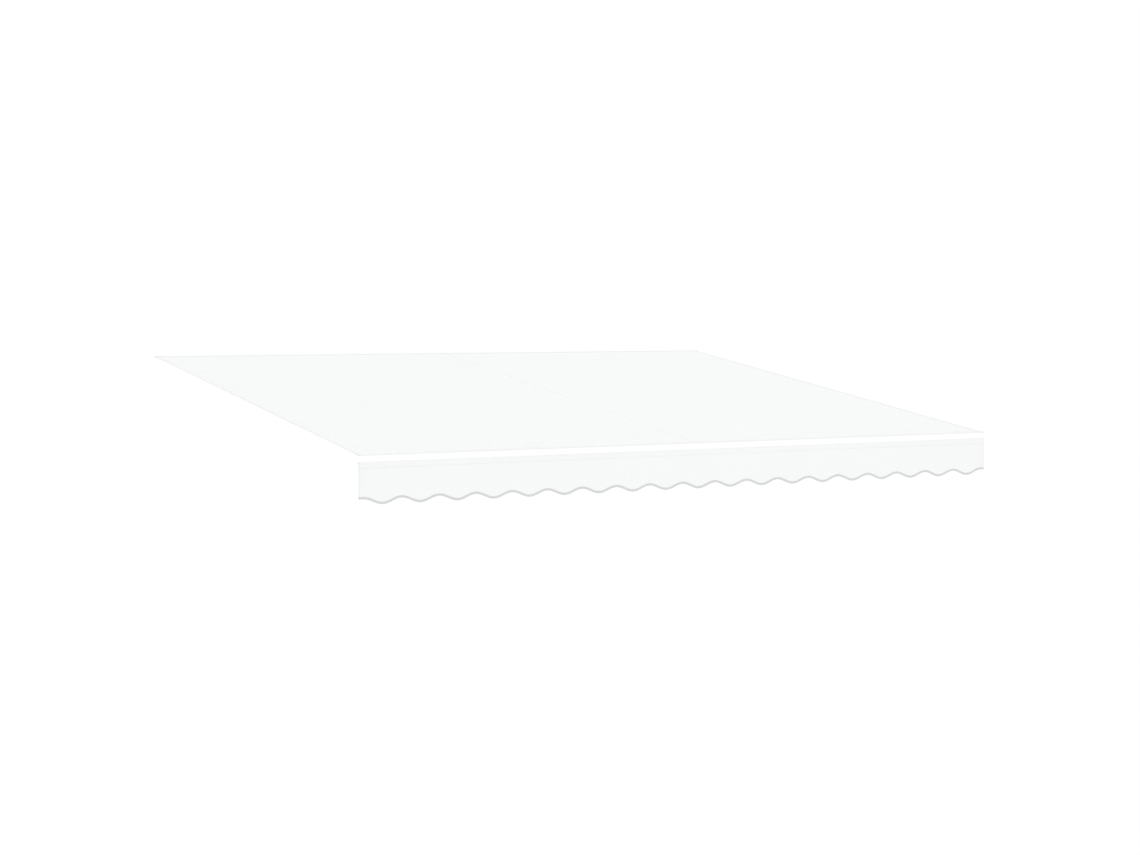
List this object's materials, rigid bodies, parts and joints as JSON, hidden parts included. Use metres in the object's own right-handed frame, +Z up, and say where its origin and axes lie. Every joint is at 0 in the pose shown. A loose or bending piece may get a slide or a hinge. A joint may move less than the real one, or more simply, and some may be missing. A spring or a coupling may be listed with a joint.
{
  "type": "awning cover with valance",
  "caption": "Sloping awning canopy sheet and hanging scalloped valance, both hemmed and held by keder cords sewn into their edges.",
  "frame": {"origin": "middle of the canopy's back keder cord, on the cord's own axis, where the awning's roller or wall rail holds it", "axes": "+X along the wall and the cords, +Y towards the wall, +Z up; the canopy runs down the slope towards -Y and the valance hangs at the front"},
  "size_m": [3.854, 2.9798, 0.6484],
  "materials": {
    "canopy_cloth": "matt white, coated plain-weave polyester",
    "valance_cloth": "matt white, coated plain-weave polyester",
    "binding_tape": "matt light grey woven tape",
    "keder_cord": "satin white extruded PVC"
  },
  "bodies": {
    "root": {"canopy_panel_left": "canopy_cloth", "canopy_panel_right": "canopy_cloth", "valance_panel_left": "valance_cloth", "valance_panel_right": "valance_cloth", "valance_binding": "binding_tape", "back_keder_cord": "keder_cord", "front_keder_cord": "keder_cord", "valance_keder_cord": "keder_cord"}
  },
  "joints": []
}
